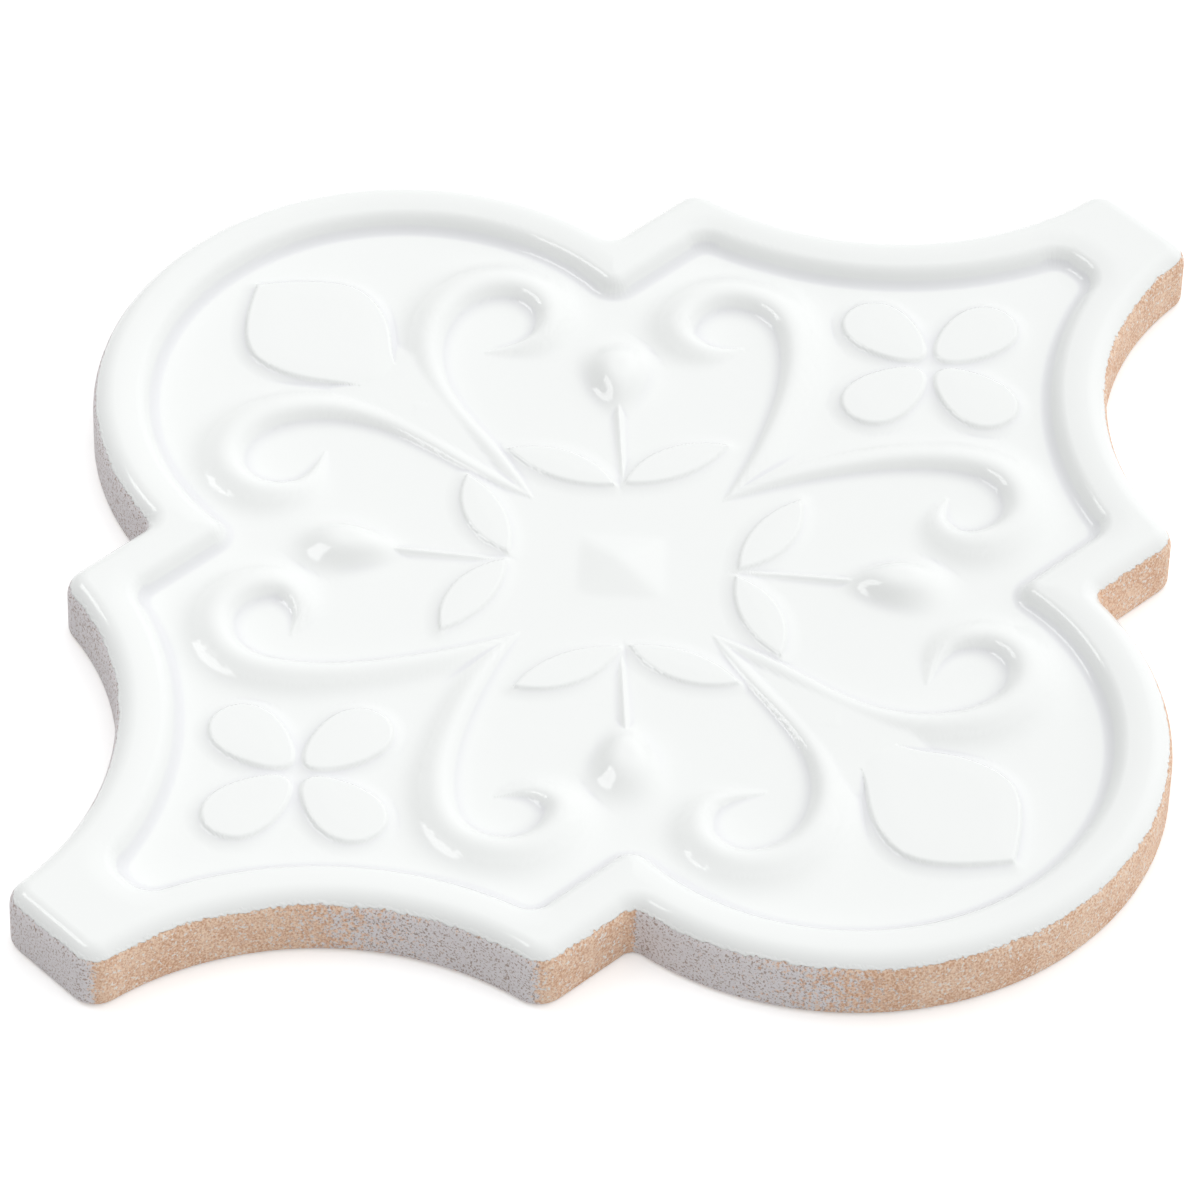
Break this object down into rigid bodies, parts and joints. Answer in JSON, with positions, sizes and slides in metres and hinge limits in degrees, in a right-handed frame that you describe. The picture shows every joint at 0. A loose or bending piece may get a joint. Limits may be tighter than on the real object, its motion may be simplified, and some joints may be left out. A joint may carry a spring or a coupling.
{
  "type": "moroccan arabesque tile",
  "caption": "Glazed ceramic wall tile in an arabesque outline, with round lobes, hollow bays, flat tips, a raised rim and moulded scroll, leaf and flower relief; beds on its flat back.",
  "frame": {"origin": "centre of the flat back face", "axes": "+X through a side lobe, +Y through a tip, +Z out of the glazed face"},
  "size_m": [0.1694, 0.2, 0.0093],
  "materials": {
    "glazed_clay": "glossy white glaze on the face, bare sandy clay on the sides and back"
  },
  "bodies": {
    "root": {"tile": "glazed_clay"}
  },
  "joints": []
}
